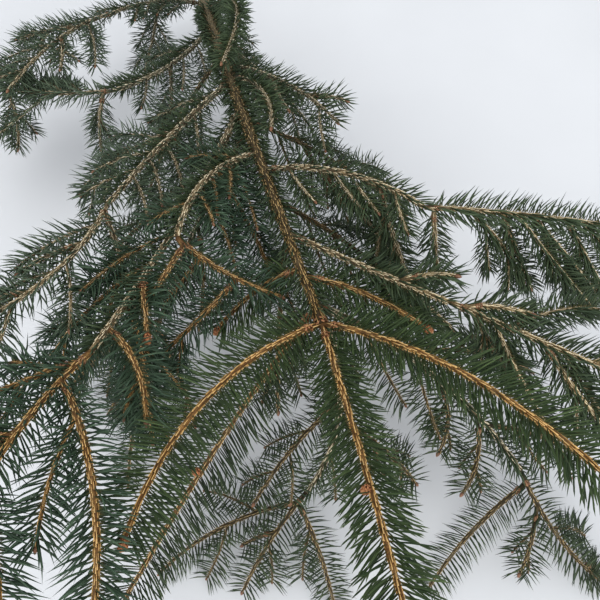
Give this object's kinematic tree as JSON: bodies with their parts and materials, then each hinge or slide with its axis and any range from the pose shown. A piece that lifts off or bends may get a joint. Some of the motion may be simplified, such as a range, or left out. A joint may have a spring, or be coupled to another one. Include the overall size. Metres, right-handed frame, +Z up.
{
  "type": "cut red spruce bough",
  "caption": "Cut bough of red spruce: an arching stem with side boughs, a ring of long shoots at its tip and drooping lower sprays of dark green needles, lying on the ground.",
  "frame": {"origin": "centre of the cut face at the bough's butt, 8 mm above the ground that the bough lies on", "axes": "+Y out of the cut face, -Y along the bough's growth, +X to the right when the bough is seen from its tips' side with +Z up, +Z up"},
  "size_m": [0.3874, 0.5653, 0.1981],
  "materials": {
    "stem_bark": "rough scaly grey-brown bark",
    "twig_bark": "ridged golden brown twig bark with leaf pegs",
    "needles": "satin dark green needles"
  },
  "bodies": {
    "root": {"main_stem": "stem_bark", "left_back_bough": "twig_bark", "left_rear_bough": "twig_bark", "left_outer_bough": "twig_bark", "left_front_bough": "twig_bark", "left_bough": "twig_bark", "right_rear_bough": "twig_bark", "right_middle_bough": "twig_bark", "low_right_bough": "twig_bark", "low_middle_bough": "twig_bark", "low_left_bough": "twig_bark", "leader_shoot": "needles", "right_tip_shoot": "needles", "left_tip_shoot": "needles", "left_under_shoot": "needles", "right_inner_shoot": "needles", "left_inner_shoot": "needles", "upper_rear_shoot": "needles", "right_short_shoot": "needles", "rear_rising_shoot": "needles", "right_low_shoot": "needles", "right_back_shoot": "needles", "rear_under_shoot": "needles", "right_rear_under_shoot": "needles", "left_low_shoot": "needles", "left_back_spray": "needles", "left_back_twig": "needles", "left_rear_spray": "needles", "left_rear_twig": "needles", "left_front_spray": "needles", "left_front_twig": "needles", "left_front_shoot": "needles", "left_front_side_twig": "needles", "left_front_low_twig": "needles", "left_outer_spray": "needles", "left_outer_twig": "needles", "left_spray": "needles", "right_rear_spray": "needles", "right_rear_twig": "needles", "right_rear_low_twig": "needles", "right_middle_spray": "needles", "right_middle_twig": "needles", "right_middle_low_twig": "needles", "right_under_shoot": "needles", "front_under_shoot": "needles", "left_under_twig": "needles", "low_right_spray": "needles", "low_right_outer_twig": "needles", "low_right_side_twig": "needles", "low_right_twig": "needles", "low_right_inner_twig": "needles", "low_middle_spray": "needles", "low_middle_twig": "needles", "low_middle_inner_twig": "needles", "low_left_spray": "needles", "low_left_outer_twig": "needles", "low_left_twig": "needles"}
  },
  "joints": []
}
